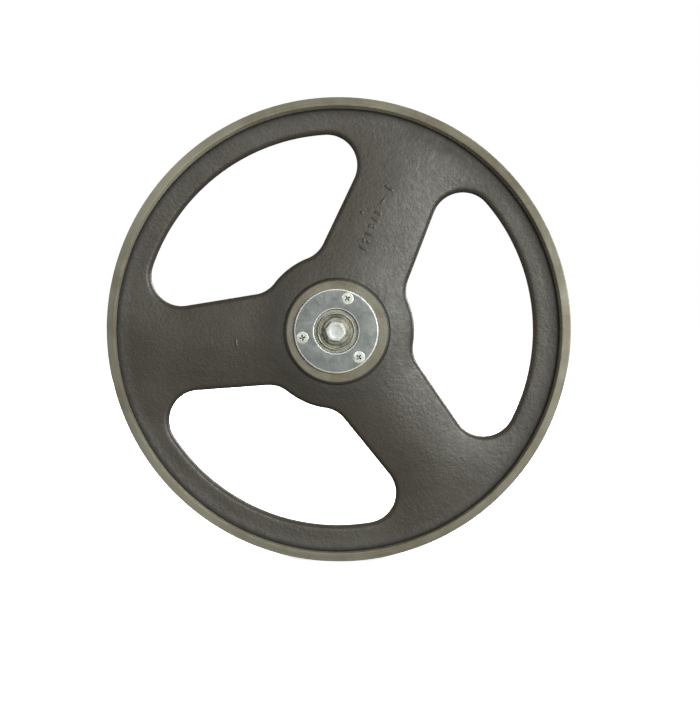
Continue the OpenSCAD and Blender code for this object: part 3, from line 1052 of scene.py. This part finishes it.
def axle_bolt():
    shell = Shell()
    seat, top = front_of("bolt_washer"), front_of("axle_bolt")
    flat, flat_r, n = HEX_HALF_FLAT, 6.7, 144
    t = np.arange(n) * 2 * math.pi / n
    sixth = math.pi / 3
    reach = flat / np.cos(t % sixth - sixth / 2)
    t = t + math.radians(HEX_TURN)

    def ring(r, z):
        return shell.add(np.c_[r * np.cos(t), r * np.sin(t), z * np.ones(n)])

    chamfer = top - (reach - flat_r) * math.tan(math.radians(30))
    loops = [
        ring(reach - 0.25, seat), ring(reach - 0.05, seat + 0.1), ring(reach, seat + 0.35),
        ring(reach, (seat + top) / 2), ring(reach, chamfer - 0.2),
        ring(reach - 0.06, chamfer - 0.03), ring((reach + flat_r) / 2, (chamfer + top) / 2),
        ring(flat_r + 0.06, top - 0.035), ring(flat_r - 0.06, top), ring(flat_r - 0.3, top),
        ring(5.0, top), ring(4.6, top - 0.02), ring(4.3, top - 0.1), ring(4.0, top - 0.13),
        ring(1.8, top - 0.12),
    ]
    shell.loft(loops[:6], 0)
    # The hex's chamfer takes the lighter zinc, a painted highlight.
    shell.loft(loops[5:9], 1)
    shell.loft(loops[8:], 0)
    shell.fan(loops[-1], shell.add([(0, 0, top - 0.12)])[0], 0)
    end = seat - BOLT_SHANK_LENGTH
    neck = ring(BOLT_SHANK_R, seat)
    shell.bridge(loops[0], neck, 0)
    rows, z, k = [neck], seat - 4.0, 0
    rows.append(ring(BOLT_SHANK_R, z))
    while z > end + 1.2:
        z -= 0.4
        k += 1
        rows.append(ring(BOLT_SHANK_R - THREAD_CUTS[k % 3], z))
    rows.append(ring(3.2, end))
    shell.loft(rows, 0)
    shell.fan(rows[-1], shell.add([(0, 0, end)])[0], 0)
    return shell.build("axle_bolt_hex", [BOLT_ZINC, ZINC_HIGHLIGHT], 26)


# The thread in the axle's rear hole.
THREAD_PITCH = 1.5
THREAD_DEPTH = 0.55


def axle():
    shell = Shell()
    rear, seat = rear_of("axle"), rear_of("rear_outer_race")
    front = front_of("axle")
    flange, spigot, collar, journal, hole = 20.0, 12.5, 12.0, 8.5, 4.25
    bolt, crest = BOLT_SHANK_R, hole - THREAD_DEPTH
    thread = []
    z = rear + 0.9
    while z < rear + 20:
        thread += [(hole, z), (hole, z + 0.2), (crest, z + 0.75), (crest, z + 0.95)]
        z += THREAD_PITCH
    head = [(0, rear + 25.0), (hole - 0.1, rear + 22.0), (hole, rear + 20.9)]
    outside = rounded([
        (hole, rear + 0.9, 0), (hole + 0.9, rear, 0.1), (spigot - 1.0, rear, 0.15),
        (spigot, rear + 1.0, 0.15), (spigot, -1.6, 0), (spigot - 0.35, -1.3, 0),
        (spigot - 0.35, -0.2, 0.1), (flange - 0.6, 0, 0.1), (flange, 0.6, 0.2),
        (flange, 4.4, 0.2), (flange - 0.6, 5.0, 0.2), (collar + 0.4, 5.0, 0.3),
        (collar, 5.5, 0.3), (collar, seat, 0), (journal, seat, 0),
        (journal, front - 0.5, 0.1), (journal - 0.5, front, 0.1), (bolt + 0.5, front, 0.05),
        (bolt, front - 0.5, 0), (bolt, front - 22.0, 0), (0, front - 24.0, 0),
    ], False)
    line = head + thread[:0:-1] + outside
    lathe(shell, line, 96, closed=False)
    return shell.build("stub_axle", [AXLE_STEEL], 30)


pieces = [
    (wheel_casting(), "wheel", "wheel_casting", "cast_iron"),
    (retainer_plate(), "wheel", "retainer_plate", "zinc_plate"),
    (plate_screws(), "wheel", "plate_screws", "bright_screw"),
    (end_washer(), "axle", "end_washer", "turned_steel"),
    (bolt_washer(), "axle", "bolt_washer", "zinc_plate"),
    (axle_bolt(), "axle", "axle_bolt", "zinc_bolt"),
    (axle(), "axle", "axle", "turned_steel"),
]
for piece, body, node, slot in pieces:
    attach(piece, body)
    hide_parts(node)

# ---------------------------------------------------------------- CAD nodes that stay

KEPT = {
    "race": plain_metal("bearing_steel", (0.62, 0.62, 0.62), 0.22, 500),
    "ball": plain_metal("ball_steel", (0.70, 0.70, 0.70), 0.10, 700),
    "cage": plain_metal("cage_steel", (0.48, 0.47, 0.45), 0.34, 500),
    "shield": plain_metal("shield_steel", (0.34, 0.335, 0.28), 0.5, 200, 0.4),
    "spacer": plain_metal("spacer_steel", (0.42, 0.42, 0.40), 0.34, 400),
    "circlip": plain_metal("spring_steel", (0.10, 0.10, 0.11), 0.42, 400),
    "seal": rubber(),
}
replaced = {node for _, _, node, _ in pieces}
for name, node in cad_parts.items():
    if name in replaced:
        continue
    kind = next(k for k in KEPT if k in name)
    node.data.materials.clear()
    node.data.materials.append(KEPT[kind])

# ---------------------------------------------------------------- studio


def disc(name, radius, z):
    n = 96
    t = np.arange(n) * 2 * math.pi / n
    mesh = bpy.data.meshes.new(name)
    points = [(0.0, 0.0, z)] + [(radius * math.cos(a), radius * math.sin(a), z) for a in t]
    mesh.from_pydata(points, [], [(0, 1 + k, 1 + (k + 1) % n) for k in range(n)])
    made = bpy.data.objects.new(name, mesh)
    bpy.context.scene.collection.objects.link(made)
    return made


# The floor glows, a little less below the wheel, so that it is as white as the surround where
# the two meet. It is hidden from diffuse and glossy rays, so it throws no light on the wheel.
FLOOR_GLOW_NEAR = 0.70
FLOOR_GLOW_FAR = 0.985


def studio():
    net = Net("floor_pale", Roughness=0.9, Specular_IOR_Level=0.1)
    at = net.place()
    pale = [(0.3, (0.86, 0.86, 0.85)), (0.7, (0.89, 0.89, 0.88))]
    net.finish(net.ramp(net.noise(at, 3, 2), pale))
    away = net.put("VectorMath", {0: at}, operation="LENGTH").outputs["Value"]
    net.set(net.bsdf, "Emission Color", (1, 1, 0.99))
    glow = net.span(away, 0.25, 1.3, FLOOR_GLOW_NEAR, FLOOR_GLOW_FAR)
    net.set(net.bsdf, "Emission Strength", glow)
    floor = disc("floor", 8.0, cad_box[0][2])
    floor.data.materials.append(net.mat)
    floor.visible_diffuse = False
    floor.visible_glossy = False
    # A white surround that only the camera sees, so that it lights nothing
    mesh = bpy.data.meshes.new("surround")
    ball = bmesh.new()
    bmesh.ops.create_icosphere(ball, subdivisions=4, radius=12.0)
    ball.to_mesh(mesh)
    ball.free()
    surround = bpy.data.objects.new("surround", mesh)
    bpy.context.scene.collection.objects.link(surround)
    white = Net("surround_white", Roughness=1.0, Specular_IOR_Level=0.0)
    white.bsdf.inputs["Base Color"].default_value = (0, 0, 0, 1)
    white.bsdf.inputs["Emission Color"].default_value = (1, 1, 1, 1)
    white.bsdf.inputs["Emission Strength"].default_value = 1.0
    mesh.materials.append(white.mat)
    for ray in ("diffuse", "glossy", "transmission", "volume_scatter", "shadow"):
        setattr(surround, "visible_" + ray, False)
    world = bpy.data.worlds.new("studio")
    world.use_nodes = True
    sky = world.node_tree.nodes["Background"]
    sky.inputs["Color"].default_value = (1.0, 0.99, 0.97, 1)
    sky.inputs["Strength"].default_value = 0.11
    bpy.context.scene.world = world


def area_light(name, place, target, size, power, colour=(1, 1, 1), glossy=True):
    data = bpy.data.lights.new(name, "AREA")
    data.shape = "DISK"
    data.size = size
    data.energy = power
    data.color = colour
    lamp = bpy.data.objects.new(name, data)
    lamp.location = place
    lamp.rotation_euler = (Vector(target) - Vector(place)).to_track_quat("-Z", "Y").to_euler()
    lamp.visible_camera = False
    lamp.visible_glossy = glossy
    bpy.context.scene.collection.objects.link(lamp)


studio()
# The key stands near the camera, as in the photo. Three of the lights behind are hidden from
# glossy rays, because they draw toothed highlights along the walls of the openings.
area_light("key", (0.65, -1.24, 0.22), (0, -0.04, 0), 0.75, 20, (0.965, 1.0, 0.955))
area_light("fill", (-0.2, -1.35, 0.35), (0, -0.04, 0), 0.8, 2.8, (0.99, 1.0, 0.96))
area_light("rear_key", (-0.75, 1.3, 0.5), (0, 0, 0), 0.8, 20, glossy=False)
area_light("rear_fill", (0.8, 1.1, 0.7), (0, 0, 0), 0.8, 16)
area_light("side_left", (-1.25, 0.85, 0.45), (0, 0, 0), 0.9, 18, glossy=False)
area_light("side_right", (1.25, 0.85, 0.45), (0, 0, 0), 0.9, 18)
area_light("above", (0, 0.85, 1.3), (0, 0, 0), 0.9, 15, glossy=False)

# ---------------------------------------------------------------- camera


# The photo's viewpoint: almost square to the wheel, with the wheel left of and above the middle.
AZIMUTH = 2.1
ELEVATION = 1.62
DISTANCE = 0.6
LENS_MM = 40.0
SHIFT = (0.0195, -0.0309)


def camera():
    azimuth, elevation = math.radians(AZIMUTH), math.radians(ELEVATION)
    target = Vector((0, -RIM_FRONT * MM, 0))
    back = Vector((
        math.sin(azimuth) * math.cos(elevation),
        -math.cos(azimuth) * math.cos(elevation),
        math.sin(elevation),
    ))
    data = bpy.data.cameras.new("camera")
    data.lens = LENS_MM
    data.shift_x, data.shift_y = SHIFT
    data.clip_start = 0.01
    data.clip_end = 50
    made = bpy.data.objects.new("camera", data)
    made.location = target + back * DISTANCE
    made.rotation_euler = (-back).to_track_quat("-Z", "Y").to_euler()
    bpy.context.scene.collection.objects.link(made)
    bpy.context.scene.camera = made


camera()
bpy.context.scene.view_settings.view_transform = "Standard"
